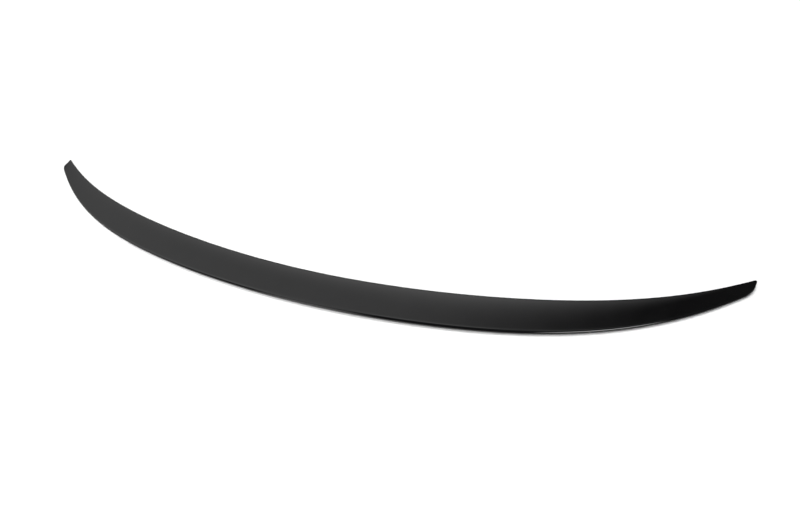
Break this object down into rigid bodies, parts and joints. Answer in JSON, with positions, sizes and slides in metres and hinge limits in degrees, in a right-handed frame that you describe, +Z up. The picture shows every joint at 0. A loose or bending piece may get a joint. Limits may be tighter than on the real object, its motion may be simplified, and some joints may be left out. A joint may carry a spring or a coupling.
{
  "type": "boot lid lip spoiler",
  "caption": "Slim crescent lip spoiler in gloss black for a saloon's boot lid, with a thin overhanging trailing edge and a flat bonding face.",
  "frame": {"origin": "middle of the flat bonding face under the lip, on the car's centre line", "axes": "+X across the car to the right, +Y forward from the trailing edge to the leading edge, +Z up out of the bonding face"},
  "size_m": [1.2, 0.1646, 0.0116],
  "materials": {
    "gloss_black": "smooth gloss black lacquer over a plastic moulding"
  },
  "bodies": {
    "root": {"lip": "gloss_black"}
  },
  "joints": []
}
